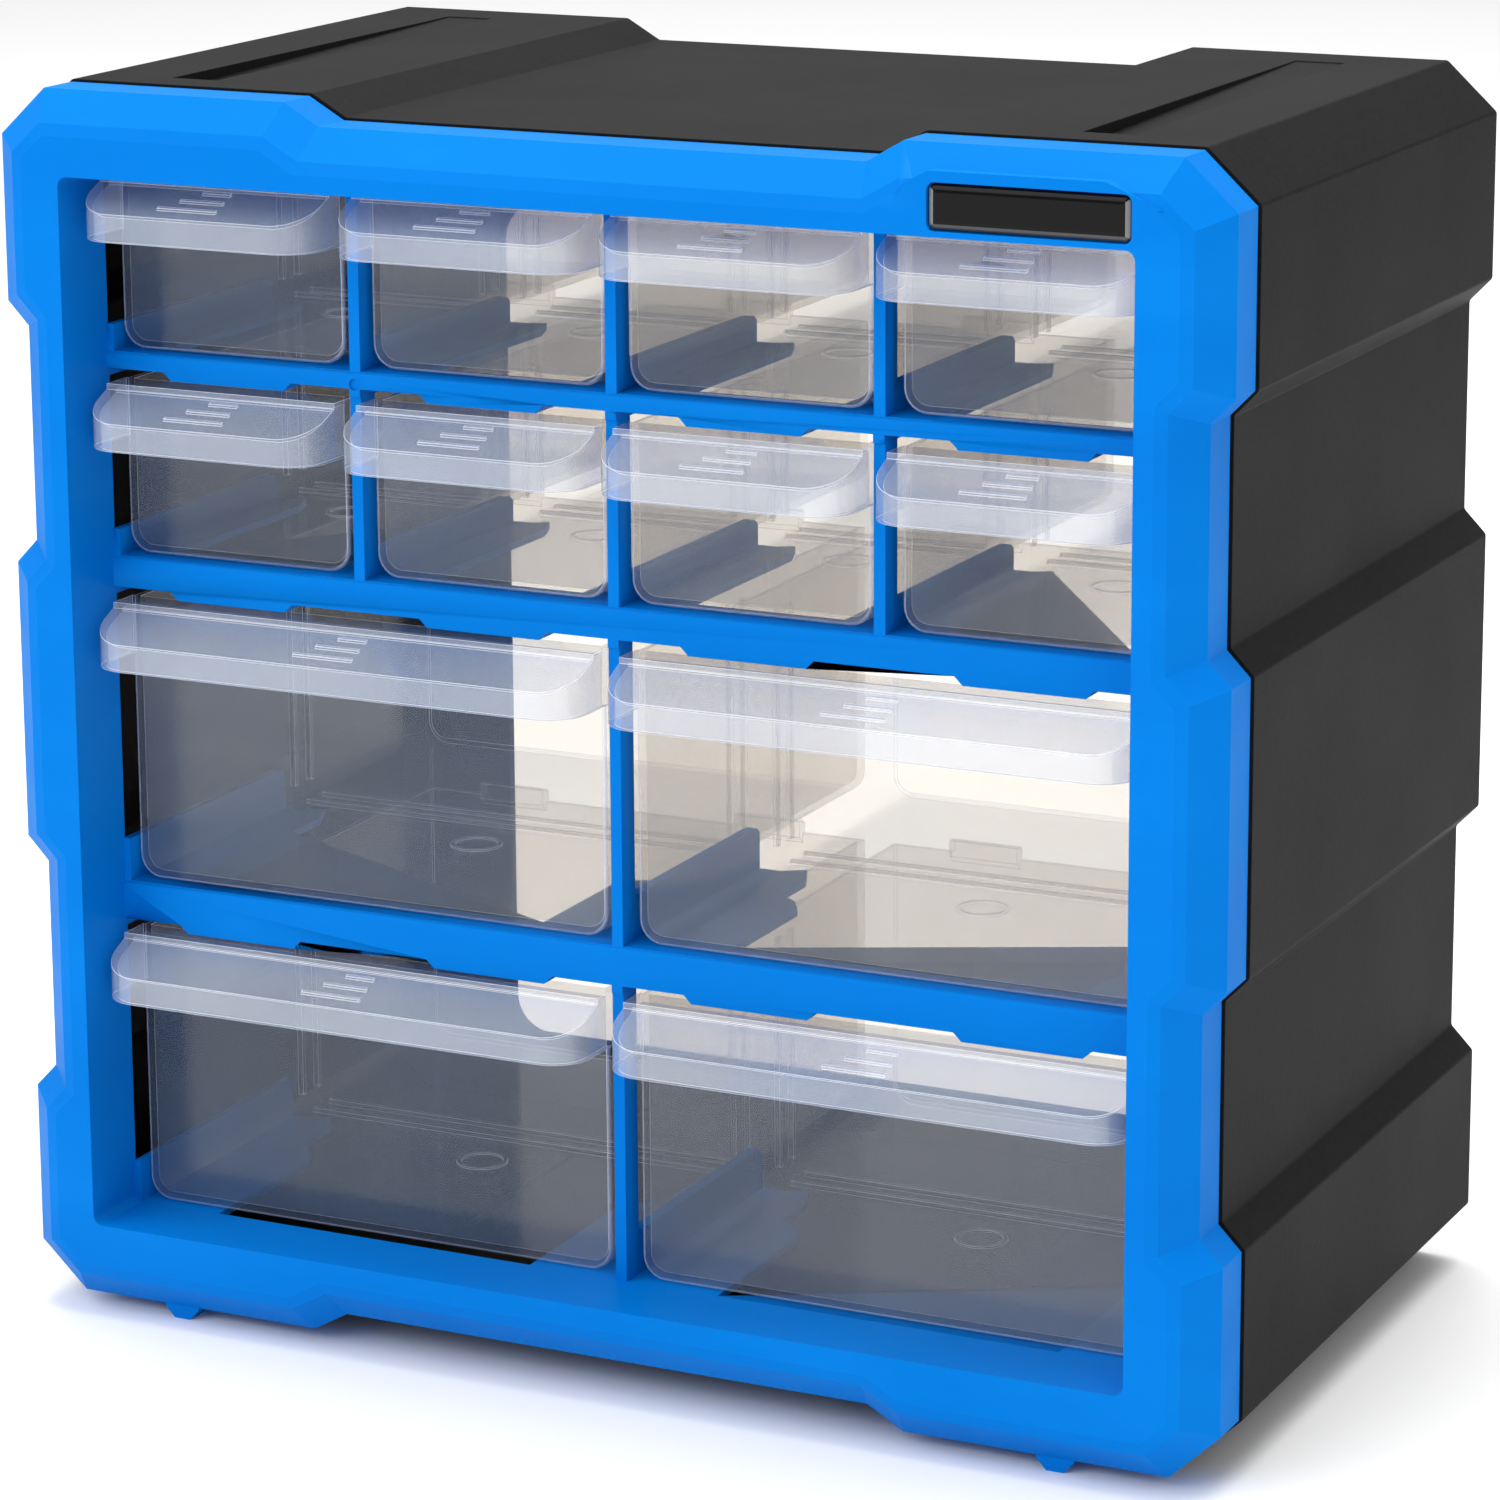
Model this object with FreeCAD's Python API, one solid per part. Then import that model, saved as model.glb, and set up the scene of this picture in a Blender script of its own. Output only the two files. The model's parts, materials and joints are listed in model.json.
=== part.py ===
import FreeCAD, Part
import os
from math import radians, tan

# Parts organizer: a deep cabinet shell, a bevelled front frame with a drawer grid and
# runners, eight small drawers in two rows above four large ones, and a name plate.
# Millimetres. X is across, -Y is the front, +Z is up. The origin is at the middle of
# the footprint, on the surface that the organizer stands on.

V = FreeCAD.Vector

# ---- driving dimensions -------------------------------------------------------------
WIDTH = 265.0            # across the wide side bands
BODY_HEIGHT = 254.3      # shell and frame, without the feet
FOOT_HEIGHT = 2.4        # stacking feet below the body
SHELL_DEPTH = 137.5      # black shell, from the seam with the frame to the back
FRAME_DEPTH = 16.7       # blue frame, from its face back to the seam

# outline of the cross-section, shared by shell and frame
CORNER_X = 10.7          # chamfer at the four outer corners
CORNER_Z = 10.0
SIDE_STEP = 4.75         # narrow side bands are set in by this much
BAND_SLOPE = 4.9         # height of the slope between a wide and a narrow band
BAND_OUTER = 82.8        # from mid height: lower end of the top wide band
BAND_INNER = 34.1        # from mid height: lower end of the narrow band
MIDDLE_DROP = 4.4        # the middle of top and bottom is set in by this much
MIDDLE_HALF = 58.4       # half width of the set-in middle
BLOCK_HALF = 66.1        # where the raised end blocks begin
EDGE_RADIUS = 1.2

# walls
SHELL_WALL = 2.4
FRAME_WALL = 2.2
FRAME_INSET = 0.5        # the shell stands this much proud of the frame all round
LIP_GAP = 0.3            # frame lip inside the shell mouth
LIP_WALL = 1.7
LIP_LENGTH = 5.0
SEAM_WIDTH = 0.7         # shadow groove where shell and frame meet
SEAM_INSET = 1.1

# frame front
RIM_DEPTH = 9.9          # straight rim before the bevel starts
BEVEL_INSET = 6.1        # main bevel
BEVEL_DEPTH = 6.0
FACE_INSET = 8.6         # end of the fine second bevel, where the flat face begins
OPENING_HALF = 114.8
OPENING_LOW = 18.0       # above the body's underside
OPENING_HIGH = 237.2
OPENING_RADIUS = 2.0

# drawer grid
COLUMN_PITCH = 57.0
DIVIDER = 2.4
GRID_FACE = 1.0          # grid face, in front of the seam
DIVIDER_BACK = 5.0       # how far dividers reach behind the seam
BAR_BACK = 8.0
BARS = [(78.4, 88.2), (149.0, 157.2), (194.4, 199.6)]   # lower and upper edge
BAR_ROUND = 1.0
LINTEL_LOW = 236.5       # stop bar over the top row, behind the opening's edge
RAIL_LENGTH = 62.0       # runner walls behind the seam
RAIL_SMALL = 5.5         # runner wall height, small and large drawers
RAIL_LARGE = 9.0
RAIL_WALL = 1.6          # runner wall beside the outer cells
FLANGE = 1.5             # runner floor thickness
NOTCH_DEPTH = 1.7        # relief cut in the lower edge of a bar
NOTCH_END = 15.2         # notch beside a cell wall
NOTCH_MIDDLE = 16.4      # half width of the notch over a large cell's middle

# drawers
SMALL_WIDTH = 51.7
LARGE_WIDTH = 109.0
SMALL_HEIGHT = 35.9
LARGE_HEIGHT = 59.5
FLOOR_GAP = 0.4          # drawer above the runners
DRAWER_FRONT = 2.0       # outer face of the drawer front, behind the seam
DRAWER_REAR = 125.0
DRAWER_WALL = 1.3
DRAWER_FLOOR = 1.5
BELLY_RADIUS = 5.0       # lower edges of the drawer
HOOD_OVERHANG = 0.65     # hood beyond the drawer's sides
HOOD_REACH = 17.0        # pull hood, in front of the drawer front
HOOD_RADIUS = 8.0
HOOD_SKIRT = 5.7         # upright lip of the hood
HOOD_RISE = 5.9          # from the crease above the lip to the top of the drawer
HOOD_SLANT = 11.0        # depth of the slanted face from front to back
HOOD_STEP = 1.2          # drop from the flat top to the slanted face
HOOD_WALL = 1.3
GRIP_HEIGHT = 0.5
GRIP_WIDTH = 0.7
GRIP_LENGTHS = [13.5, 10.0, 6.5]
GRIP_RIGHT = 5.5         # right ends of the grip lines, from the drawer's middle
SLOT_CENTRE = 65.0       # divider slot in the side walls, behind the seam
SLOT_PITCH = 6.6
SLOT_RIB = 1.2
FLOOR_RIB = 1.0
GATE_RADIUS = 5.5        # moulding mark on the drawer floor
GATE_PLACE = 47.5        # its centre, behind the seam
GATE_HEIGHT = 0.4
STOP_HEIGHT = 3.0
STOP_WIDTH = 16.0
STOP_THICK = 3.0
STOP_SPREAD = 32.0       # stops of a large drawer, either side of its middle

# stacking channels on top, ramped, and the feet that stand in them
CHANNEL_X = 98.75
CHANNEL_WIDTH = 10.5
CHANNEL_DEPTH = 2.6
CHANNEL_SHALLOW = 0.3    # depth left at the rear end of the ramp
CHANNEL_START = 10.0
CHANNEL_LENGTH = 115.0
CHANNEL_PAD = 2.6
FOOT_TOP = 8.0
FOOT_BOTTOM = 3.6
FOOT_X = 98.2

# back of the shell
BACK_BORDER = 28.0       # rim beside the open back, and below it
BACK_SILL = 12.0
BACK_TOP_BAND = 36.0
BACK_RADIUS = 8.0
SCREW_SPACING = 200.0
SCREW_RADIUS = 2.5

# name plate
PLATE_X = (73.6, 114.1)
PLATE_Z = (238.3, 247.4)
PLATE_RADIUS = 1.6
PLATE_POCKET = 1.4
PLATE_GAP = 0.3
PLATE_DOME = 0.9

# ---- places worked out from them ----------------------------------------------------
DEPTH = SHELL_DEPTH + FRAME_DEPTH
FACE_Y = -DEPTH / 2
SEAM_Y = FACE_Y + FRAME_DEPTH
BACK_Y = DEPTH / 2
BASE_Z = FOOT_HEIGHT
MID_Z = BASE_Z + BODY_HEIGHT / 2
GRID_Y = SEAM_Y - GRID_FACE
HALF = WIDTH / 2


# ---- helpers ------------------------------------------------------------------------
def box(x0, x1, y0, y1, z0, z1):
    return Part.makeBox(x1 - x0, y1 - y0, z1 - z0, V(x0, y0, z0))


def outline():
    """Cross-section of shell and frame as (x, z) corners, clockwise from the top."""
    top = BODY_HEIGHT / 2
    quarter = [
        (MIDDLE_HALF, top - MIDDLE_DROP),
        (BLOCK_HALF, top),
        (HALF - CORNER_X, top),
        (HALF, top - CORNER_Z),
        (HALF, BAND_OUTER),
        (HALF - SIDE_STEP, BAND_OUTER - BAND_SLOPE),
        (HALF - SIDE_STEP, BAND_INNER),
        (HALF, BAND_INNER - BAND_SLOPE),
    ]
    right = quarter + [(x, -z) for x, z in reversed(quarter)]
    left = [(-x, z) for x, z in reversed(right)]
    return [(x, z + MID_Z) for x, z in right + left]


def inset(points, distance):
    """Move every side of a clockwise polygon inwards by the same distance."""
    moved = []
    count = len(points)
    for i in range(count):
        before, here, after = points[i - 1], points[i], points[(i + 1) % count]
        d1 = V(here[0] - before[0], here[1] - before[1], 0).normalize()
        d2 = V(after[0] - here[0], after[1] - here[1], 0).normalize()
        n1 = V(d1.y, -d1.x, 0)
        n2 = V(d2.y, -d2.x, 0)
        mitre = (n1 + n2) * (distance / (1 + n1.dot(n2)))
        moved.append((here[0] + mitre.x, here[1] + mitre.y))
    return moved


def polygon_wire(points, y):
    corners = [V(x, y, z) for x, z in points]
    return Part.makePolygon(corners + [corners[0]])


def rounded_wire(points, y, radius):
    """Closed wire through (x, z) corners, each corner an arc."""
    edges = []
    ends = []
    count = len(points)
    for i in range(count):
        here = V(points[i][0], y, points[i][1])
        before = V(points[i - 1][0], y, points[i - 1][1])
        after = V(points[(i + 1) % count][0], y, points[(i + 1) % count][1])
        a = (before - here).normalize()
        b = (after - here).normalize()
        half_angle = a.getAngle(b) / 2
        run = radius / tan(half_angle)
        start = here + a * run
        end = here + b * run
        middle_dir = (a + b).normalize()
        centre = here + middle_dir * (radius ** 2 + run ** 2) ** 0.5
        ends.append((start, centre - middle_dir * radius, end))
    for i in range(count):
        start, middle, end = ends[i]
        edges.append(Part.Arc(start, middle, end).toShape())
        edges.append(Part.makeLine(end, ends[(i + 1) % count][0]))
    return Part.Wire(edges)


def prism(wire, length):
    """Solid from a wire in an XZ plane, pushed back along +Y."""
    return Part.Face(wire).extrude(V(0, length, 0))


def rounded_box(x, y, z, radius):
    """Box with its four edges along Y rounded; x, y and z are (low, high)."""
    corners = [(x[0], z[1]), (x[1], z[1]), (x[1], z[0]), (x[0], z[0])]
    return prism(rounded_wire(corners, y[0], radius), y[1] - y[0])


def loft(points_a, y_a, points_b, y_b):
    wires = [polygon_wire(points_a, y_a), polygon_wire(points_b, y_b)]
    return Part.makeLoft(wires, True, True)


def flat_prism(points, z0, z1):
    """Solid from (x, y) corners between two heights."""
    corners = [V(x, y, z0) for x, y in points]
    return Part.Face(Part.makePolygon(corners + [corners[0]])).extrude(V(0, 0, z1 - z0))


def side_prism(points, x0, x1):
    """Solid from (y, z) corners between two x positions."""
    corners = [V(x0, y, z) for y, z in points]
    return Part.Face(Part.makePolygon(corners + [corners[0]])).extrude(V(x1 - x0, 0, 0))


def fuse(shapes):
    return shapes[0].multiFuse(shapes[1:]).removeSplitter() if len(shapes) > 1 else shapes[0]


# ---- shell --------------------------------------------------------------------------
def foot(x, y0, y1):
    """Stacking foot: a low trapezoid rail under an end block."""
    top = FOOT_TOP / 2
    low = FOOT_BOTTOM / 2
    root = BASE_Z + 0.5
    points = [(x - top, root), (x + top, root), (x + top, BASE_Z), (x + low, 0.0),
              (x - low, 0.0), (x - top, BASE_Z)]
    return prism(polygon_wire(points, y0), y1 - y0)


def channel_cutter(x):
    """Stacking channel: deep at the front, getting shallow towards the back."""
    top = BASE_Z + BODY_HEIGHT
    start = SEAM_Y + CHANNEL_START
    end = start + CHANNEL_LENGTH
    points = [(start, top + 1), (start, top - CHANNEL_DEPTH), (end, top - CHANNEL_SHALLOW),
              (end, top + 1)]
    return side_prism(points, x - CHANNEL_WIDTH / 2, x + CHANNEL_WIDTH / 2)


def cabinet_shell():
    profile = outline()
    hull = prism(rounded_wire(profile, SEAM_Y + SEAM_WIDTH, EDGE_RADIUS), SHELL_DEPTH - SEAM_WIDTH)
    mouth = prism(rounded_wire(inset(profile, SEAM_INSET), SEAM_Y, EDGE_RADIUS), SEAM_WIDTH)
    hollow_wire = rounded_wire(inset(profile, SHELL_WALL), SEAM_Y - 1, EDGE_RADIUS)
    hollow = prism(hollow_wire, SHELL_DEPTH + 1 - SHELL_WALL)
    shell = hull.fuse(mouth).cut(hollow)

    top = BASE_Z + BODY_HEIGHT
    for side in (-1, 1):
        x = side * CHANNEL_X
        pad_half = CHANNEL_WIDTH / 2 + SHELL_WALL
        start = SEAM_Y + CHANNEL_START - SHELL_WALL
        pad = box(x - pad_half, x + pad_half, start, start + CHANNEL_LENGTH / 2,
                  top - SHELL_WALL - CHANNEL_PAD, top - SHELL_WALL + 0.2)
        shell = shell.fuse(pad).cut(channel_cutter(x))
        shell = shell.fuse(foot(side * FOOT_X, SEAM_Y + 6, BACK_Y - 6))

    window_x = HALF - SIDE_STEP - SHELL_WALL - BACK_BORDER
    low = BASE_Z + MIDDLE_DROP + SHELL_WALL + BACK_SILL
    high = top - MIDDLE_DROP - SHELL_WALL - BACK_TOP_BAND
    window = rounded_box((-window_x, window_x), (BACK_Y - 10, BACK_Y + 1), (low, high), BACK_RADIUS)
    shell = shell.cut(window)

    for side in (-1, 1):
        middle = V(side * SCREW_SPACING / 2, BACK_Y - 10, high + BACK_TOP_BAND / 2)
        shell = shell.cut(Part.makeCylinder(SCREW_RADIUS, 12, middle, V(0, 1, 0)))
    return shell.removeSplitter()


# ---- front frame --------------------------------------------------------------------
def bezel_body():
    """Bevelled rim around the opening, hollow behind its face."""
    profile = inset(outline(), FRAME_INSET)
    rim_y = SEAM_Y - RIM_DEPTH
    bevel_y = rim_y - BEVEL_DEPTH
    rim = prism(polygon_wire(profile, rim_y), RIM_DEPTH)
    bevel = loft(inset(profile, BEVEL_INSET), bevel_y, profile, rim_y)
    face = loft(inset(profile, FACE_INSET), FACE_Y, inset(profile, BEVEL_INSET), bevel_y)
    solid = rim.fuse(bevel).fuse(face)

    lip_out = SHELL_WALL + LIP_GAP - FRAME_INSET
    lip_in = lip_out + LIP_WALL
    pocket_rim = prism(polygon_wire(inset(profile, lip_in), rim_y), RIM_DEPTH + 1)
    pocket_back = loft(inset(profile, lip_in + BEVEL_INSET - 1), bevel_y + 2, inset(profile, lip_in), rim_y)
    wall = FRAME_WALL
    tube = box(-OPENING_HALF - wall, OPENING_HALF + wall, FACE_Y - 1, SEAM_Y + 2,
               BASE_Z + OPENING_LOW - wall, BASE_Z + OPENING_HIGH + wall)
    solid = solid.cut(pocket_rim.fuse(pocket_back).cut(tube))

    lip = prism(polygon_wire(inset(profile, lip_out), SEAM_Y - 1), LIP_LENGTH + 1)
    lip = lip.cut(prism(polygon_wire(inset(profile, lip_in), SEAM_Y - 2), LIP_LENGTH + 4))
    opening = rounded_box((-OPENING_HALF, OPENING_HALF), (FACE_Y - 1, SEAM_Y + 1),
                          (BASE_Z + OPENING_LOW, BASE_Z + OPENING_HIGH), OPENING_RADIUS)
    return solid.fuse(lip).cut(opening)


def plate_pad():
    """Flat pad that carries the name plate, standing out of the top bevel."""
    x0, x1 = PLATE_X
    top = BASE_Z + PLATE_Z[1]
    points = [(x0 - 6.5, top - 2.6), (x0 - 4.0, top - 0.2), (x0 + 0.3, top + 2.1), (x1 - 5.1, top + 2.1),
              (x1 + 6.0, top - 2.6)]
    return prism(polygon_wire(points, FACE_Y), FRAME_DEPTH - RIM_DEPTH)


def cell_columns(row):
    """Clear (left, right) of each cell in a row; rows count from the bottom."""
    span = 2 if row < 2 else 1
    cells = []
    for first in range(0, 4, span):
        left = (first - 2) * COLUMN_PITCH + DIVIDER / 2
        right = (first + span - 2) * COLUMN_PITCH - DIVIDER / 2
        low = -OPENING_HALF if first == 0 else left
        high = OPENING_HALF if first + span == 4 else right
        cells.append((low, high))
    return cells


def row_heights(row):
    """Floor and ceiling of a row above the body's underside."""
    floors = [OPENING_LOW] + [high for low, high in BARS]
    ceilings = [low for low, high in BARS] + [OPENING_HIGH]
    return floors[row], ceilings[row]


def bar(low, high):
    """Horizontal bar of the grid, with a rounded upper front edge."""
    y0 = GRID_Y
    y1 = SEAM_Y + BAR_BACK
    z0 = BASE_Z + low
    z1 = BASE_Z + high
    reach = OPENING_HALF + FRAME_WALL
    solid = box(-reach, reach, y0, y1, z0, z1)
    edges = [e for e in solid.Edges
             if abs(e.BoundBox.YMax - y0) < 1e-6 and e.BoundBox.ZLength < 1e-6
             and abs(e.BoundBox.ZMax - z1) < 1e-6]
    return solid.makeFillet(BAR_ROUND, edges)


def lintel():
    """Stop bar over the top row, joined to the upper edge of the opening."""
    reach = OPENING_HALF + FRAME_WALL
    return box(-reach, reach, GRID_Y + 0.5, SEAM_Y + BAR_BACK,
               BASE_Z + LINTEL_LOW, BASE_Z + OPENING_HIGH + FRAME_WALL)


def notch(x0, x1, low, slope_left, slope_right):
    """Relief in the lower edge of a bar, with sloped inner ends."""
    z0 = BASE_Z + low - 1
    z1 = BASE_Z + low + NOTCH_DEPTH
    run_left = NOTCH_DEPTH if slope_left else 0.0
    run_right = NOTCH_DEPTH if slope_right else 0.0
    points = [(x0 + run_left, z1), (x1 - run_right, z1), (x1, z0 + 1), (x1, z0), (x0, z0), (x0, z0 + 1)]
    return prism(polygon_wire(points, GRID_Y - 1), BAR_BACK + GRID_FACE + 2)


def row_notches(row):
    ceiling = row_heights(row)[1]
    cuts = []
    for low, high in cell_columns(row):
        cuts.append(notch(low, low + NOTCH_END, ceiling, False, True))
        cuts.append(notch(high - NOTCH_END, high, ceiling, True, False))
        if row < 2:
            middle = (low + high) / 2
            cuts.append(notch(middle - NOTCH_MIDDLE, middle + NOTCH_MIDDLE, ceiling, True, True))
    return cuts


def runner_floor(wall_x, inward, floor, large):
    """Floor flange of a runner: a strip that steps down to a pointed tab."""
    y0 = GRID_Y + 0.5
    if large:
        run = [(0.0, y0), (20.0, y0), (20.0, SEAM_Y + 38), (17.0, SEAM_Y + 43), (12.5, SEAM_Y + 46),
               (12.5, SEAM_Y + 58), (9.5, SEAM_Y + 65), (5.0, SEAM_Y + RAIL_LENGTH),
               (0.0, SEAM_Y + RAIL_LENGTH)]
    else:
        run = [(0.0, y0), (10.0, y0), (10.0, SEAM_Y + 57), (7.5, SEAM_Y + 64),
               (4.0, SEAM_Y + RAIL_LENGTH), (0.0, SEAM_Y + RAIL_LENGTH)]
    points = [(wall_x + inward * x, y) for x, y in run]
    z1 = BASE_Z + floor
    return flat_prism(points, z1 - FLANGE, z1)


def rail_wall(x0, x1, floor, height):
    """Upright wall of a runner, with a small chamfer at its rear top corner."""
    z0 = BASE_Z + floor - FLANGE
    z1 = BASE_Z + floor + height
    y0 = GRID_Y + 0.4
    y1 = SEAM_Y + RAIL_LENGTH
    return side_prism([(y0, z0), (y0, z1), (y1 - 1.5, z1), (y1, z1 - 1.0), (y1, z0)], x0, x1)


def row_runners(row):
    floor = row_heights(row)[0]
    large = row < 2
    height = RAIL_LARGE if large else RAIL_SMALL
    parts = []
    for low, high in cell_columns(row):
        parts.append(runner_floor(low, 1, floor, large))
        parts.append(runner_floor(high, -1, floor, large))
        if low == -OPENING_HALF:
            parts.append(rail_wall(low, low + RAIL_WALL, floor, height))
        else:
            parts.append(rail_wall(low - DIVIDER, low, floor, height))
        if high == OPENING_HALF:
            parts.append(rail_wall(high - RAIL_WALL, high, floor, height))
    return parts


def row_dividers(row):
    floor, ceiling = row_heights(row)
    parts = []
    for low, high in cell_columns(row)[1:]:
        parts.append(box(low - DIVIDER, low, GRID_Y + 0.4, SEAM_Y + DIVIDER_BACK,
                         BASE_Z + floor - 1, BASE_Z + ceiling + 1))
    return parts


def front_frame():
    parts = [bezel_body().fuse(plate_pad())]
    bars = [bar(low, high) for low, high in BARS]
    grid = bars[0].multiFuse(bars[1:])
    for row in range(3):
        grid = grid.cut(row_notches(row)[0].multiFuse(row_notches(row)[1:]))
    parts += [grid, lintel()]
    for row in range(4):
        parts += row_dividers(row)
        parts += row_runners(row)
    for side in (-1, 1):
        parts.append(foot(side * FOOT_X, SEAM_Y - RIM_DEPTH, SEAM_Y - 1))
    frame = parts[0].multiFuse(parts[1:])

    pocket = rounded_box(PLATE_X, (FACE_Y - 1, FACE_Y + PLATE_POCKET),
                         (BASE_Z + PLATE_Z[0], BASE_Z + PLATE_Z[1]), PLATE_RADIUS)
    gate_mark = Part.makeCylinder(1.2, 0.5, V(-COLUMN_PITCH, GRID_Y, BASE_Z + sum(BARS[2]) / 2), V(0, 1, 0))
    return frame.cut(pocket).cut(gate_mark).removeSplitter()


# ---- name plate ---------------------------------------------------------------------
def name_plate():
    """Domed glossy plate with no lettering, set in the frame's pocket."""
    x = (PLATE_X[0] + PLATE_GAP, PLATE_X[1] - PLATE_GAP)
    z = (BASE_Z + PLATE_Z[0] + PLATE_GAP, BASE_Z + PLATE_Z[1] - PLATE_GAP)
    plate = rounded_box(x, (FACE_Y + 0.1, FACE_Y + PLATE_POCKET), z, PLATE_RADIUS - PLATE_GAP)
    front = [e for e in plate.Edges if abs(e.BoundBox.YMax - FACE_Y - 0.1) < 1e-4]
    return plate.makeChamfer(PLATE_DOME, front)


# ---- drawers ------------------------------------------------------------------------
def u_section(x0, x1, z0, z1, radius, y):
    """Wire with square top corners and rounded bottom corners."""
    low = V(x0, y, z0 + radius)
    s = radius * 0.5 ** 0.5
    return Part.Wire([
        Part.makeLine(V(x0, y, z1), low),
        Part.Arc(low, V(x0 + radius - s, y, z0 + radius - s), V(x0 + radius, y, z0)).toShape(),
        Part.makeLine(V(x0 + radius, y, z0), V(x1 - radius, y, z0)),
        Part.Arc(V(x1 - radius, y, z0), V(x1 - radius + s, y, z0 + radius - s),
                 V(x1, y, z0 + radius)).toShape(),
        Part.makeLine(V(x1, y, z0 + radius), V(x1, y, z1)),
        Part.makeLine(V(x1, y, z1), V(x0, y, z1)),
    ])


def hood_outline(x0, x1, y_front, y_back, radius, z):
    """Plan of the pull hood: straight sides and rounded front corners."""
    s = radius * 0.5 ** 0.5
    left = V(x0 + radius, y_front + radius, z)
    right = V(x1 - radius, y_front + radius, z)
    return Part.Wire([
        Part.makeLine(V(x0, y_back, z), V(x0, y_front + radius, z)),
        Part.Arc(V(x0, y_front + radius, z), left + V(-s, -s, 0), V(x0 + radius, y_front, z)).toShape(),
        Part.makeLine(V(x0 + radius, y_front, z), V(x1 - radius, y_front, z)),
        Part.Arc(V(x1 - radius, y_front, z), right + V(s, -s, 0), V(x1, y_front + radius, z)).toShape(),
        Part.makeLine(V(x1, y_front + radius, z), V(x1, y_back, z)),
        Part.makeLine(V(x1, y_back, z), V(x0, y_back, z)),
    ])


def hood_block(x0, x1, y_front, y_back, radius, z0, z_crease, z_top):
    """Hood volume: rounded plan, with a slanted face cut off its front top edge."""
    block = Part.Face(hood_outline(x0, x1, y_front, y_back, radius, z0)).extrude(V(0, 0, z_top - z0))
    lead = 2.0
    rise = HOOD_RISE - HOOD_STEP
    z_slant = z_crease + rise
    wedge = [(y_front - lead, z_crease - lead * rise / HOOD_SLANT), (y_front + HOOD_SLANT, z_slant),
             (y_front + HOOD_SLANT, z_top + lead), (y_front - lead, z_top + lead)]
    return block.cut(side_prism(wedge, x0 - 1, x1 + 1))


def hood(x0, x1, z_top, y_wall):
    """Pull hood over the upper edge of a drawer front, open underneath."""
    z_crease = z_top - HOOD_RISE
    z_skirt = z_crease - HOOD_SKIRT
    y_front = y_wall - HOOD_REACH
    outer = hood_block(x0, x1, y_front, y_wall + DRAWER_WALL, HOOD_RADIUS, z_skirt, z_crease, z_top)
    w = HOOD_WALL
    inner = hood_block(x0 + w, x1 - w, y_front + w, y_wall, HOOD_RADIUS - w, z_skirt - 1,
                       z_crease - 0.6 * w, z_top - w)
    return outer.cut(inner)


def grips(x_right, z_top, y_wall):
    """Three raised finger lines on the slanted face, the longest at the bottom."""
    y_front = y_wall - HOOD_REACH
    slope = (HOOD_RISE - HOOD_STEP) / HOOD_SLANT
    bars = []
    for i, length in enumerate(GRIP_LENGTHS):
        y = y_front + HOOD_SLANT * (0.26 + 0.27 * i)
        z = z_top - HOOD_RISE + (y - y_front) * slope
        half = GRIP_WIDTH / 2
        drop = half * slope
        points = [(y - half, z - drop - 0.4), (y - half, z - drop + GRIP_HEIGHT),
                  (y + half, z + drop + GRIP_HEIGHT), (y + half, z + drop - 0.4)]
        bars.append(side_prism(points, x_right - length, x_right))
    return bars


def slot_ribs(x0, x1, z0, z1):
    """Two pairs of side ribs that hold a cross divider, with low ribs across the floor."""
    w = DRAWER_WALL
    half = SLOT_RIB / 2
    parts = []
    for offset in (-SLOT_PITCH / 2, SLOT_PITCH / 2):
        y = SEAM_Y + SLOT_CENTRE + offset
        parts.append(box(x0 + w - 0.3, x0 + w + SLOT_RIB, y - half, y + half, z0 + BELLY_RADIUS, z1 - 4))
        parts.append(box(x1 - w - SLOT_RIB, x1 - w + 0.3, y - half, y + half, z0 + BELLY_RADIUS, z1 - 4))
        parts.append(box(x0 + BELLY_RADIUS, x1 - BELLY_RADIUS, y - half, y + half,
                         z0 + DRAWER_FLOOR - 0.3, z0 + DRAWER_FLOOR + FLOOR_RIB))
    return parts


def rear_stop(x, y_rear, z_top):
    """Raised tab on the rear wall that meets the grid bar when the drawer is pulled out."""
    points = [(y_rear, z_top - 2), (y_rear, z_top + STOP_HEIGHT - 0.8), (y_rear - 0.8, z_top + STOP_HEIGHT),
              (y_rear - STOP_THICK, z_top + STOP_HEIGHT), (y_rear - STOP_THICK, z_top - 0.5),
              (y_rear - DRAWER_WALL, z_top - 2)]
    return side_prism(points, x - STOP_WIDTH / 2, x + STOP_WIDTH / 2)


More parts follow.
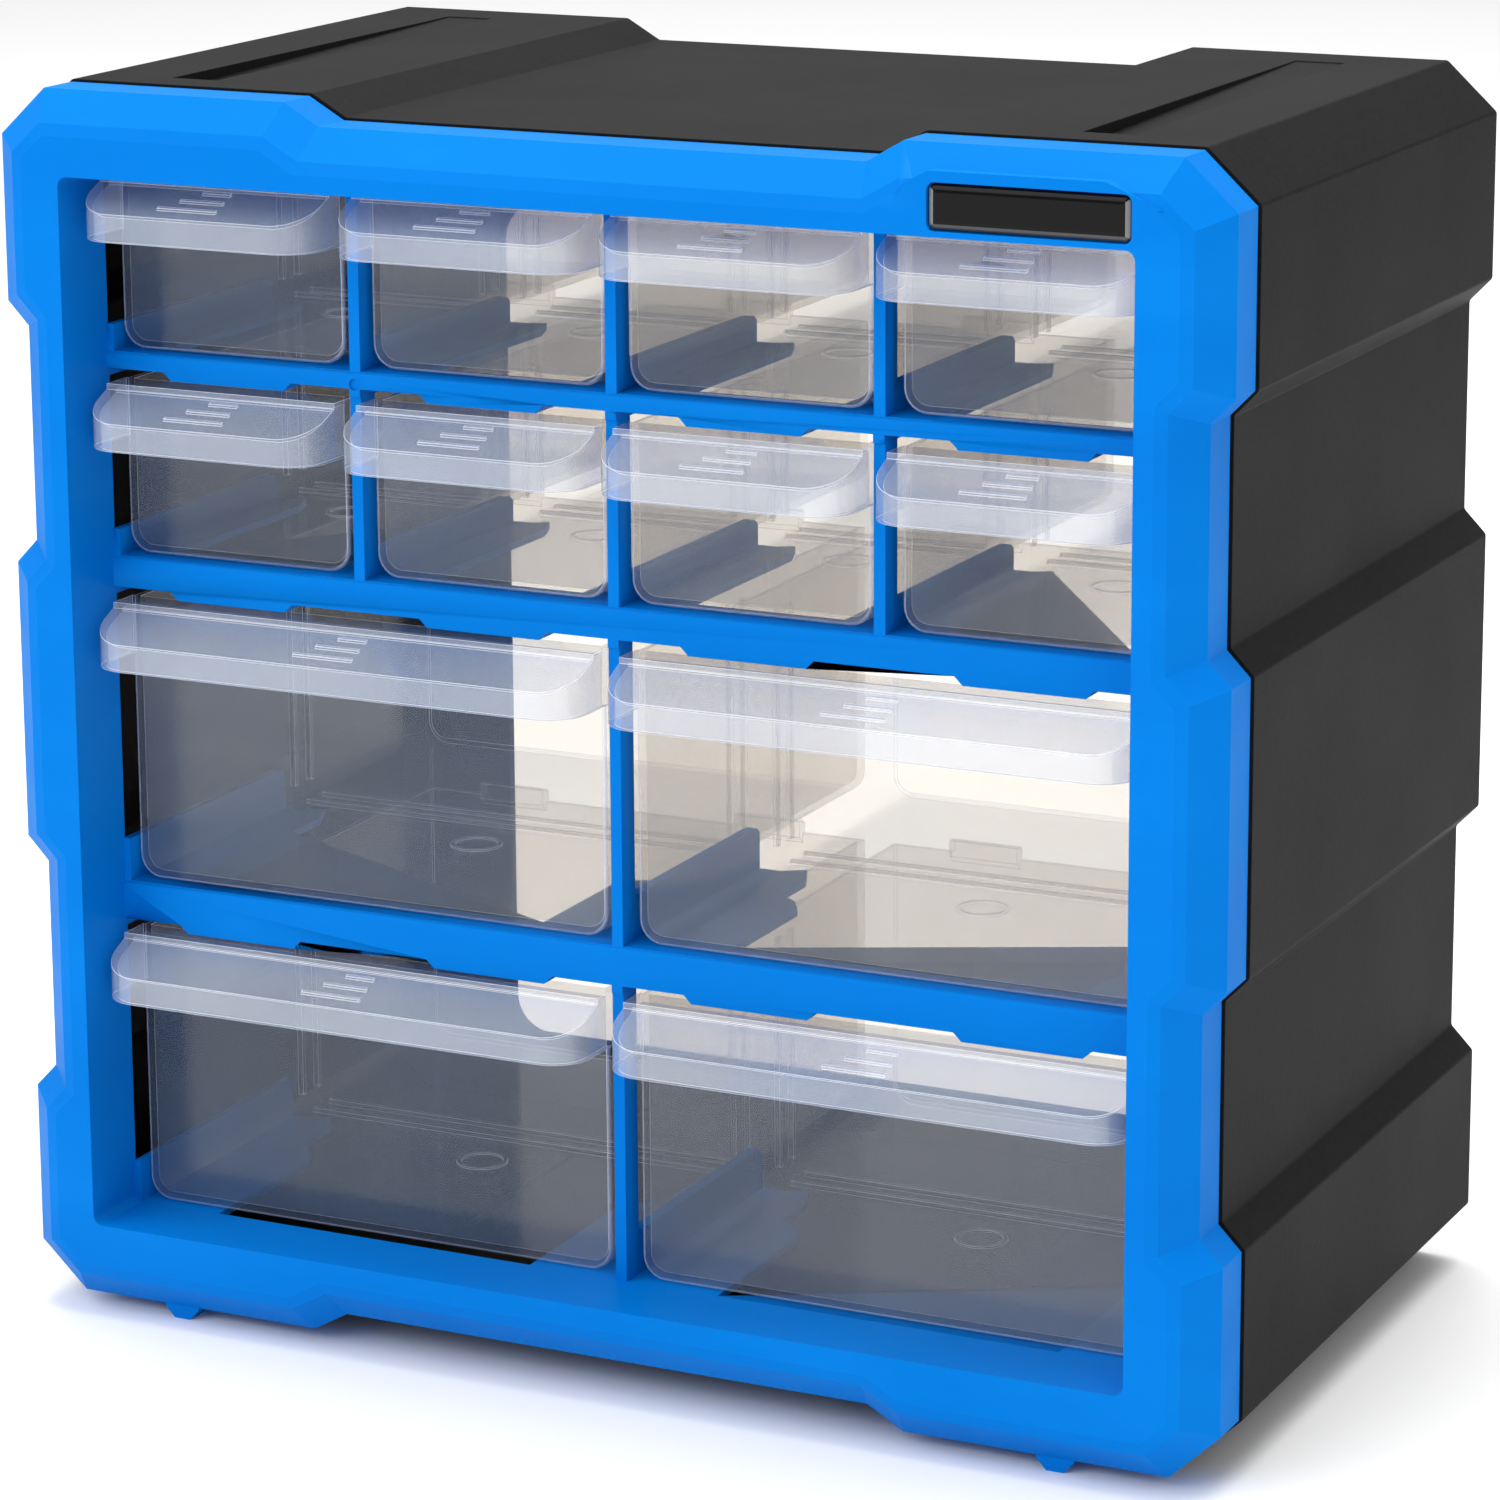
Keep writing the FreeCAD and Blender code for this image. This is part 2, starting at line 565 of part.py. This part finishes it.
def drawer(row, column):
    """Open-topped drawer with pull hood, grip lines, divider slot and rear stops."""
    low, high = cell_columns(row)[column]
    large = row < 2
    middle = (low + high) / 2
    width = LARGE_WIDTH if large else SMALL_WIDTH
    x0 = middle - width / 2
    x1 = middle + width / 2
    z0 = BASE_Z + row_heights(row)[0] + FLOOR_GAP
    z1 = z0 + (LARGE_HEIGHT if large else SMALL_HEIGHT)
    y0 = SEAM_Y + DRAWER_FRONT
    y1 = SEAM_Y + DRAWER_REAR
    w = DRAWER_WALL
    tub = prism(u_section(x0, x1, z0, z1, BELLY_RADIUS, y0), y1 - y0)
    hollow = prism(u_section(x0 + w, x1 - w, z0 + DRAWER_FLOOR, z1 + 1, BELLY_RADIUS - w, y0 + w),
                   y1 - y0 - 2 * w)
    parts = [tub.cut(hollow), hood(x0 - HOOD_OVERHANG, x1 + HOOD_OVERHANG, z1, y0)]
    parts += grips(middle + GRIP_RIGHT, z1, y0)
    parts += slot_ribs(x0, x1, z0, z1)
    gate_y = SEAM_Y + GATE_PLACE
    gate = Part.makeCylinder(GATE_RADIUS, GATE_HEIGHT + 0.3, V(middle, gate_y, z0 + DRAWER_FLOOR - 0.3))
    parts.append(gate.cut(Part.makeCylinder(GATE_RADIUS - 1.0, 2, V(middle, gate_y, z0 + DRAWER_FLOOR))))
    stops = [middle - STOP_SPREAD, middle + STOP_SPREAD] if large else [middle]
    parts += [rear_stop(x, y1, z1) for x in stops]
    return fuse(parts)


# ---- build --------------------------------------------------------------------------
def build():
    nodes = {
        "cabinet_shell": cabinet_shell(),
        "front_frame": front_frame(),
        "name_plate": name_plate(),
    }
    for row in range(4):
        for column in range(len(cell_columns(row))):
            # names count rows from the top, as a person would
            nodes["drawer_r%d_c%d" % (4 - row, column + 1)] = drawer(row, column)
    return nodes


os.makedirs("parts", exist_ok=True)
for node, shape in build().items():
    solids = shape.Solids
    print(node, "valid", shape.isValid(), "solids", len(solids), "volume", round(shape.Volume))
    shape.exportStep("parts/%s.step" % node)
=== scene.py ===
import json
import math
import bpy
import bmesh
from mathutils import Matrix, Vector


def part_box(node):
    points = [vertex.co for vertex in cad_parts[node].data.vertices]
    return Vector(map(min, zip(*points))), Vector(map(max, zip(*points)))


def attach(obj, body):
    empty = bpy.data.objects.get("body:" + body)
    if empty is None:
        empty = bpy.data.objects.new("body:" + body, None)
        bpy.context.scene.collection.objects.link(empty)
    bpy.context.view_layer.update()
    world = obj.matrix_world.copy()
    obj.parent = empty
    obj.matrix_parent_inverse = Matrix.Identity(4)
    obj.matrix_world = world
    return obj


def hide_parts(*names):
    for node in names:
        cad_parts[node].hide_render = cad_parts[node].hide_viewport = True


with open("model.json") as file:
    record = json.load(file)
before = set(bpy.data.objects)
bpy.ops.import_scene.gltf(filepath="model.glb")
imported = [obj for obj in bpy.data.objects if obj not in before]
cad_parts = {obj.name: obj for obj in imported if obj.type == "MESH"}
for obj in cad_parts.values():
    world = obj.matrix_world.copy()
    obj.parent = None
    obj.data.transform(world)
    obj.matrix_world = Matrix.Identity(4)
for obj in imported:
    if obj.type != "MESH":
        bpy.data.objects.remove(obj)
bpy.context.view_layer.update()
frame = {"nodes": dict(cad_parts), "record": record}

# Parts organizer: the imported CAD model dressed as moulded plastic. Metres throughout.

BODIES = frame["record"]["behaviour"]["bodies"]
BODY_OF = {node: body for body, nodes in BODIES.items() for node in nodes}
DRAWERS = sorted(node for node in frame["nodes"] if node.startswith("drawer_"))
scene = bpy.context.scene

# ---- places and sizes, in the frame of the CAD model --------------------------------
MM = 0.001
SEAM = -0.0604                  # y where the front frame meets the shell
OPENING_HALF = 0.1148           # half the width of the frame's opening
OPENING = (0.0204, 0.2396)      # its bottom and top
FRONT_FACE = -0.0584            # y of the front face of a drawer's tub
FRONT_INSET = 0.65 * MM         # from a drawer's box to the side of its tub
HOOD_BACK = -0.0590             # y behind which a drawer is tub and not pull hood
LOWEST = 8 * MM                 # height of a tub's rounded lower edges
PLATE_CORNER = 1.3 * MM         # name plate: corner radius in its plane
DOME_RISE = 0.85 * MM           # height and reach of its rounded rim
DOME_RUN = 1.7 * MM
ROUND_STEPS = 8                 # points to a quarter turn on the plate

# small edge radii, which the CAD model leaves sharp
FRAME_RADIUS = 0.40 * MM
BEZEL_RADIUS = 1.3 * MM         # long edges of the frame's outer facets
SHELL_RADIUS = 0.40 * MM
DRAWER_RADIUS = 0.32 * MM
FRONT_RADIUS = 1.25 * MM        # outline of a tub's front face
MERGE = 2e-6                    # points closer than this are one
FLAT_ANGLE = 0.6                # degrees between faces that are one flat face
BEZEL_ANGLE = 12.0              # degrees between faces that meet at an edge to round
EDGE_ANGLE = 28.0

# material slots of the pieces that have more than one; the frame's crease slot, a drawer's edge and
# corner slots and the plate's end and foot slots hold painted highlights and painted reflections
SAME, FRAME_CREASE_HIGHLIGHT = -1, 1
HOOD_SLOT, EDGE_HIGHLIGHT_SLOT, CORNER_HIGHLIGHT_SLOT = 1, 2, 3
PLATE_END_REFLECTION_SLOT, PLATE_FOOT_REFLECTION_SLOT = 1, 2


# ---- camera -------------------------------------------------------------------------
CAMERA_PLACE = (0.4626, -0.9551, 0.3924)
CAMERA_ANGLES = (25.84, 12.96, -0.33)       # azimuth, elevation and roll in degrees


def add_camera():
    azimuth, elevation, roll = (math.radians(angle) for angle in CAMERA_ANGLES)
    back = Vector((math.sin(azimuth) * math.cos(elevation),
                   -math.cos(azimuth) * math.cos(elevation), math.sin(elevation)))
    right = Vector((math.cos(azimuth), math.sin(azimuth), 0))
    up = back.cross(right)
    rolled_right = right * math.cos(roll) + up * math.sin(roll)
    rolled_up = up * math.cos(roll) - right * math.sin(roll)
    data = bpy.data.cameras.new("camera")
    data.sensor_width = 36.0
    data.lens = 127.0
    data.shift_y = -0.10
    data.clip_end = 20.0
    camera = bpy.data.objects.new("camera", data)
    scene.collection.objects.link(camera)
    turn = Matrix((rolled_right, rolled_up, back)).transposed().to_4x4()
    camera.matrix_world = Matrix.Translation(CAMERA_PLACE) @ turn
    scene.camera = camera


add_camera()


# ---- materials ----------------------------------------------------------------------
class Nodes:
    """Small helper for building one node material."""

    def __init__(self, name):
        self.material = bpy.data.materials.new(name)
        self.material.use_nodes = True
        self.tree = self.material.node_tree
        self.bsdf = self.tree.nodes["Principled BSDF"]
        self.coords = self.add("ShaderNodeTexCoord").outputs["Object"]

    def add(self, kind, **values):
        node = self.tree.nodes.new(kind)
        for key, value in values.items():
            if key in node.inputs:
                node.inputs[key].default_value = value
            else:
                setattr(node, key, value)
        return node

    def link(self, out, into):
        self.tree.links.new(out, into)

    def set(self, **values):
        for key, value in values.items():
            self.bsdf.inputs[key.replace("_", " ")].default_value = value

    def scaled(self, scale):
        mapping = self.add("ShaderNodeMapping")
        mapping.inputs["Scale"].default_value = scale
        self.link(self.coords, mapping.inputs["Vector"])
        return mapping.outputs["Vector"]

    def noise(self, scale, detail=3.0, roughness=0.5, vector=None):
        node = self.add("ShaderNodeTexNoise", Scale=scale, Detail=detail, Roughness=roughness)
        self.link(vector or self.coords, node.inputs["Vector"])
        return node.outputs["Fac"]

    def ramp(self, value, stops):
        node = self.add("ShaderNodeValToRGB")
        elements = node.color_ramp.elements
        while len(elements) < len(stops):
            elements.new(0.5)
        for element, (position, colour) in zip(elements, stops):
            element.position = position
            element.color = (*colour, 1.0)
        self.link(value, node.inputs["Fac"])
        return node.outputs["Color"]

    def spread(self, value, low, high, from_low=0.3, from_high=0.7):
        node = self.add("ShaderNodeMapRange")
        for key, number in (("From Min", from_low), ("From Max", from_high),
                            ("To Min", low), ("To Max", high)):
            node.inputs[key].default_value = number
        self.link(value, node.inputs["Value"])
        return node.outputs["Result"]

    def bump(self, height, strength, distance):
        node = self.add("ShaderNodeBump", Strength=strength, Distance=distance)
        self.link(height, node.inputs["Height"])
        self.link(node.outputs["Normal"], self.bsdf.inputs["Normal"])


def frame_blue(name, shades):
    """Satin blue moulding with faint flow marks; in lighter shades it is a painted highlight."""
    m = Nodes(name)
    flow = m.noise(8.0, 4.0, 0.55, m.scaled((1.0, 1.6, 3.0)))
    m.link(m.ramp(flow, list(zip((0.30, 0.55, 0.78), shades))), m.bsdf.inputs["Base Color"])
    m.link(m.spread(m.noise(60.0, 4.0), 0.42, 0.52), m.bsdf.inputs["Roughness"])
    m.bump(m.noise(900.0, 2.0, 0.4), 0.12, 0.00012)
    m.set(IOR=1.45, Specular_IOR_Level=0.04)
    return m.material


def shell_black():
    """Matte black moulding with a fine grain."""
    m = Nodes("shell_black")
    colour = m.ramp(m.noise(700.0, 3.0, 0.6), [(0.30, (0.0060, 0.0060, 0.0061)),
                                               (0.70, (0.0095, 0.0095, 0.0096))])
    m.link(colour, m.bsdf.inputs["Base Color"])
    m.link(m.spread(m.noise(30.0, 3.0), 0.56, 0.60), m.bsdf.inputs["Roughness"])
    m.bump(m.noise(1500.0, 3.0, 0.6), 0.30, 0.00016)
    m.set(IOR=1.45, Specular_IOR_Level=0.09)
    return m.material


def plate_gloss(name, shades, level):
    """Clear domed coat over black, or in lighter greys a painted reflection on its slopes."""
    m = Nodes(name)
    m.link(m.ramp(m.noise(40.0), [(0.3, shades[0]), (0.7, shades[1])]), m.bsdf.inputs["Base Color"])
    m.link(m.spread(m.noise(120.0, 3.0), 0.05, 0.09), m.bsdf.inputs["Roughness"])
    m.bump(m.noise(70.0, 2.0), 0.03, 0.0002)
    m.set(IOR=1.45, Specular_IOR_Level=level)
    return m.material


def clear_plastic(name, colours, alpha, roughness, mirror, tint, passed, painted_glow=0.0):
    """Milky see-through plastic: a thin veil of scattered blue light, a warm loss of the light
    that comes through, and a polish that mirrors the studio.

    alpha, roughness and mirror each run from low to high. mirror is the share reflected
    straight on and at a grazing angle, and passed the share that comes through tinted.
    """
    m = Nodes(name)
    m.link(m.ramp(m.noise(22.0, 4.0, 0.55), [(0.30, colours[0]), (0.70, colours[1])]),
           m.bsdf.inputs["Base Color"])
    m.bsdf.inputs["Roughness"].default_value = 0.5
    m.set(IOR=1.5, Specular_IOR_Level=0.2)
    veil = m.spread(m.noise(16.0, 3.0, 0.5, m.scaled((1.0, 0.7, 1.8))), *alpha)
    m.link(veil, m.bsdf.inputs["Alpha"])
    gloss = m.add("ShaderNodeBsdfGlossy")
    m.link(m.spread(m.noise(45.0, 3.0), *roughness), gloss.inputs["Roughness"])
    bump = m.add("ShaderNodeBump", Strength=0.06, Distance=0.0004)
    m.link(m.noise(55.0, 2.0), bump.inputs["Height"])
    m.link(bump.outputs["Normal"], gloss.inputs["Normal"])
    grazing = m.add("ShaderNodeMath", operation="POWER")
    m.link(m.add("ShaderNodeLayerWeight", Blend=0.5).outputs["Facing"], grazing.inputs[0])
    grazing.inputs[1].default_value = 5.0
    through = m.add("ShaderNodeBsdfTransparent")
    through.inputs["Color"].default_value = (*tint, 1.0)
    body = m.add("ShaderNodeMixShader")
    body.inputs["Fac"].default_value = passed
    m.link(m.bsdf.outputs["BSDF"], body.inputs[1])
    m.link(through.outputs["BSDF"], body.inputs[2])
    mix = m.add("ShaderNodeMixShader")
    m.link(m.spread(grazing.outputs["Value"], *mirror, 0.0, 1.0), mix.inputs["Fac"])
    m.link(body.outputs["Shader"], mix.inputs[1])
    m.link(gloss.outputs["BSDF"], mix.inputs[2])
    m.link(mix.outputs["Shader"], m.tree.nodes["Material Output"].inputs["Surface"])
    # painted glow: a faint emission that brightens the surface though it is no lamp
    if painted_glow:
        m.set(Emission_Color=(0.80, 0.86, 1.00, 1.0), Emission_Strength=painted_glow)
    return m.material


TUB = clear_plastic("drawer_tub", [(0.38, 0.58, 1.00), (0.54, 0.71, 1.00)], (0.085, 0.120),
                    (0.08, 0.16), (0.020, 0.85), (0.88, 0.85, 0.80), 0.55)
HOOD = clear_plastic("drawer_hood", [(0.62, 0.74, 1.00), (0.76, 0.85, 1.00)], (0.24, 0.32),
                     (0.08, 0.18), (0.04, 0.70), (0.90, 0.88, 0.85), 0.35)
# the edge and corner materials are whiter, more opaque and faintly glowing: a painted highlight
# along a drawer's rounded edges and the outline of its front
EDGE_HIGHLIGHT = clear_plastic("drawer_edge_highlight", [(0.88, 0.90, 1.00), (0.94, 0.95, 1.00)], (0.75, 0.90),
                     (0.15, 0.22), (0.04, 0.60), (0.90, 0.90, 0.92), 0.25, painted_glow=0.15)
CORNER_HIGHLIGHT = clear_plastic("drawer_corner_highlight", [(0.62, 0.70, 1.00), (0.74, 0.80, 1.00)], (0.30, 0.42),
                       (0.12, 0.20), (0.05, 0.70), (0.90, 0.90, 0.92), 0.25, painted_glow=0.05)
MATERIALS = {
    "frame_plastic": frame_blue("frame_blue", [(0.000, 0.158, 0.58), (0.000, 0.176, 0.62),
                                               (0.001, 0.202, 0.68)]),
    # frame_crease_highlight: a lighter blue on the bezel's rounded creases, a painted highlight
    "frame_crease_highlight": frame_blue("frame_crease_highlight", [(0.000, 0.190, 0.70), (0.002, 0.215, 0.76),
                                                (0.006, 0.245, 0.82)]),
    "shell_plastic": shell_black(),
    "plate_gloss": plate_gloss("plate_gloss", [(0.0015, 0.0015, 0.0018),
                                               (0.003, 0.003, 0.0035)], 0.18),
    # plate end and foot: lighter greys on the dome's end and lower slopes, painted reflections
    "plate_end_reflection": plate_gloss("plate_end_reflection", [(0.10, 0.10, 0.11), (0.20, 0.20, 0.21)], 0.50),
    "plate_foot_reflection": plate_gloss("plate_foot_reflection", [(0.035, 0.035, 0.038), (0.055, 0.055, 0.058)], 0.50),
}


# ---- pieces -------------------------------------------------------------------------
def place(piece, node):
    """The piece stands for a CAD node and moves with its body."""
    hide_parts(node)
    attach(piece, BODY_OF[node])


def soften(bm, edges, radius, segments, material=SAME):
    """Round these edges by a small radius."""
    bmesh.ops.bevel(bm, geom=edges, offset=radius, offset_type="OFFSET", segments=segments,
                    profile=0.5, affect="EDGES", clamp_overlap=True, miter_outer="ARC",
                    material=material)


def sharp_edges(bm, angle, wanted=lambda edge: True):
    """Edges where two faces meet at more than this many degrees."""
    limit = math.radians(angle)
    return [e for e in bm.edges if e.is_manifold and e.calc_face_angle(0.0) > limit and wanted(e)]


def on_bezel(edge):
    """True for the long edges of the front frame's outer facets."""
    middle = (edge.verts[0].co + edge.verts[1].co) / 2
    beside = abs(middle.x) > OPENING_HALF + MM
    level = OPENING[0] - MM < middle.z < OPENING[1] + MM
    ahead = middle.y < SEAM - 0.5 * MM
    return (beside or not level) and ahead and edge.calc_length() > 3 * MM


def front_outline(node):
    """A test for the side and lower edges round the front face of a drawer's tub."""
    low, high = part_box(node)
    left, right = low.x + FRONT_INSET, high.x - FRONT_INSET

    def wanted(edge):
        a, b = edge.verts[0].co, edge.verts[1].co
        if abs(a.y - FRONT_FACE) > 0.05 * MM or abs(b.y - FRONT_FACE) > 0.05 * MM:
            return False
        lowest = max(a.z, b.z) < low.z + LOWEST
        at_side = min(abs(a.x - left), abs(a.x - right)) < 0.1 * MM and abs(a.x - b.x) < 0.05 * MM
        return lowest or at_side

    return wanted


def moulded(node, materials, radius):
    """A node's own shape with the small edge radii that a moulding has.

    The front frame's materials are for its body and for a painted highlight, a lighter blue, on the
    creases of its bezel, and a drawer's for its tub, pull hood, and painted highlights on its edges
    and front corners.
    """
    mesh = bpy.data.meshes.new(node + "_moulded")
    clear = node in DRAWERS
    bm = bmesh.new()
    bm.from_mesh(frame["nodes"][node].data)
    bmesh.ops.remove_doubles(bm, verts=bm.verts, dist=MERGE)
    bmesh.ops.dissolve_limit(bm, angle_limit=math.radians(FLAT_ANGLE), verts=bm.verts,
                             edges=bm.edges, use_dissolve_boundaries=False)
    if node == "front_frame":
        # the bezel's rounded creases take the lighter blue of a painted highlight
        soften(bm, sharp_edges(bm, BEZEL_ANGLE, on_bezel), BEZEL_RADIUS, 3, FRAME_CREASE_HIGHLIGHT)
    if clear:
        # on a drawer, the rounded front outline and the small rounded edges take the whiter,
        # glowing materials of a painted highlight
        outline = sharp_edges(bm, EDGE_ANGLE, front_outline(node))
        soften(bm, outline, FRONT_RADIUS, 4, CORNER_HIGHLIGHT_SLOT)
    soften(bm, sharp_edges(bm, EDGE_ANGLE), radius, 2, EDGE_HIGHLIGHT_SLOT if clear else SAME)
    bm.normal_update()
    for face in bm.faces:
        face.smooth = True
        if clear and face.material_index == 0 and face.calc_center_median().y < HOOD_BACK:
            face.material_index = HOOD_SLOT
    bm.to_mesh(mesh)
    bm.free()
    for material in materials:
        mesh.materials.append(material)
    piece = bpy.data.objects.new(node + "_moulded", mesh)
    scene.collection.objects.link(piece)
    weighted = piece.modifiers.new("weighted", "WEIGHTED_NORMAL")
    weighted.weight = 80
    weighted.keep_sharp = True
    place(piece, node)


def rounded_ring(low, high, inset, y):
    """Points round the name plate's outline, this far inside it, in the XZ plane at y."""
    r = max(PLATE_CORNER - inset, 0.15 * MM)
    x0, x1 = low.x + inset + r, high.x - inset - r
    z0, z1 = low.z + inset + r, high.z - inset - r
    points = []
    for corner, (x, z) in enumerate(((x1, z1), (x0, z1), (x0, z0), (x1, z0))):
        for step in range(ROUND_STEPS + 1):
            turn = math.pi / 2 * (corner + step / ROUND_STEPS)
            points.append((x + r * math.cos(turn), y, z + r * math.sin(turn)))
    return points


def domed_plate():
    """Name plate with a domed clear coat over black, and nothing printed on it; its end and lower
    slopes are lighter greys, painted reflections.
    """
    low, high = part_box("name_plate")
    profile = [(0.0, high.y), (0.0, low.y + DOME_RISE)]
    for step in range(1, ROUND_STEPS + 1):
        turn = math.pi / 2 * step / ROUND_STEPS
        profile.append((DOME_RUN * (1 - math.cos(turn)), low.y + DOME_RISE * (1 - math.sin(turn))))
    rings = [rounded_ring(low, high, inset, y) for inset, y in profile]
    count = len(rings[0])
    vertices = [point for ring in rings for point in ring]
    faces = [tuple(reversed(range(count)))]
    for k in range(len(rings) - 1):
        for i in range(count):
            a, b = k * count + i, k * count + (i + 1) % count
            faces.append((a, b, b + count, a + count))
    faces.append(tuple(range((len(rings) - 1) * count, len(rings) * count)))
    mesh = bpy.data.meshes.new("name_plate_domed")
    mesh.from_pydata(vertices, [], faces)
    bm = bmesh.new()
    bm.from_mesh(mesh)
    bmesh.ops.recalc_face_normals(bm, faces=bm.faces)
    bm.to_mesh(mesh)
    bm.free()
    for polygon in mesh.polygons:
        polygon.use_smooth = True
    for name in ("plate_gloss", "plate_end_reflection", "plate_foot_reflection"):
        mesh.materials.append(MATERIALS[name])
    for polygon in mesh.polygons:
        # painted reflections: slopes that face the ends take a lighter grey, slopes that face down
        # a dimmer grey
        normal = polygon.normal
        sloping = -0.97 < normal.y < -0.30
        if sloping and abs(normal.x) > 0.8 * math.hypot(normal.x, normal.z):
            polygon.material_index = PLATE_END_REFLECTION_SLOT
        elif sloping and normal.z < 0:
            polygon.material_index = PLATE_FOOT_REFLECTION_SLOT
    piece = bpy.data.objects.new("name_plate_domed", mesh)
    scene.collection.objects.link(piece)
    weighted = piece.modifiers.new("weighted", "WEIGHTED_NORMAL")
    weighted.keep_sharp = True
    place(piece, "name_plate")


moulded("front_frame", [MATERIALS["frame_plastic"], MATERIALS["frame_crease_highlight"]],
        FRAME_RADIUS)
moulded("cabinet_shell", [MATERIALS["shell_plastic"]], SHELL_RADIUS)
for drawer in DRAWERS:
    moulded(drawer, [TUB, HOOD, EDGE_HIGHLIGHT, CORNER_HIGHLIGHT], DRAWER_RADIUS)
domed_plate()


# ---- floor and light ----------------------------------------------------------------
FLOOR_HALF = 6.0                            # half the side of the square floor
ROOM_HEIGHTS, ROOM_LEVELS = (-0.1, 0.9), (0.38, 0.85)


def add_floor():
    h = FLOOR_HALF
    mesh = bpy.data.meshes.new("floor")
    mesh.from_pydata([(-h, -h, 0), (h, -h, 0), (h, h, 0), (-h, h, 0)], [], [(0, 1, 2, 3)])
    floor = bpy.data.objects.new("floor", mesh)
    scene.collection.objects.link(floor)
    m = Nodes("floor_pale")
    colour = m.ramp(m.noise(1.5, 2.0), [(0.3, (0.90, 0.90, 0.90)), (0.7, (0.93, 0.93, 0.93))])
    m.link(colour, m.bsdf.inputs["Base Color"])
    m.set(Roughness=0.85, Specular_IOR_Level=0.1)
    mesh.materials.append(m.material)


def add_light(name, place_at, aim, size, power):
    data = bpy.data.lights.new(name, "AREA")
    data.shape = "RECTANGLE"
    data.size, data.size_y = size
    data.energy = power
    light = bpy.data.objects.new(name, data)
    scene.collection.objects.link(light)
    direction = Vector(aim) - Vector(place_at)
    light.location = place_at
    light.rotation_euler = direction.to_track_quat("-Z", "Y").to_euler()


def add_world():
    """White backdrop to the eye, and a softer room, brighter overhead, to light the object."""
    world = bpy.data.worlds.new("studio")
    world.use_nodes = True
    tree = world.node_tree
    background = tree.nodes["Background"]
    background.inputs["Strength"].default_value = 1.0
    coords = tree.nodes.new("ShaderNodeTexCoord")
    split = tree.nodes.new("ShaderNodeSeparateXYZ")
    tree.links.new(coords.outputs["Generated"], split.inputs["Vector"])
    height = tree.nodes.new("ShaderNodeMapRange")
    for end, place_at, level in zip(("Min", "Max"), ROOM_HEIGHTS, ROOM_LEVELS):
        height.inputs["From " + end].default_value = place_at
        height.inputs["To " + end].default_value = level
    tree.links.new(split.outputs["Z"], height.inputs["Value"])
    path = tree.nodes.new("ShaderNodeLightPath")
    pick = tree.nodes.new("ShaderNodeMix")
    pick.data_type = "FLOAT"
    tree.links.new(path.outputs["Is Camera Ray"], pick.inputs["Factor"])
    tree.links.new(height.outputs["Result"], pick.inputs["A"])
    pick.inputs["B"].default_value = 1.0
    tree.links.new(pick.outputs["Result"], background.inputs["Color"])
    scene.world = world


add_floor()
add_world()
add_light("key", (-0.9, -1.5, 1.6), (0, 0, 0.12), (2.4, 2.0), 33.0)
add_light("top", (0.1, 0.2, 1.9), (0, 0, 0.1), (1.6, 1.2), 27.0)
add_light("fill", (1.5, -1.4, 0.8), (0, 0, 0.12), (1.0, 1.4), 3.0)
add_light("back", (-0.2, 1.1, 1.9), (0, 0.3, 0), (2.0, 1.6), 10.0)
scene.view_settings.view_transform = "Standard"
scene.cycles.transparent_max_bounces = 40      # the eye looks through many thin walls
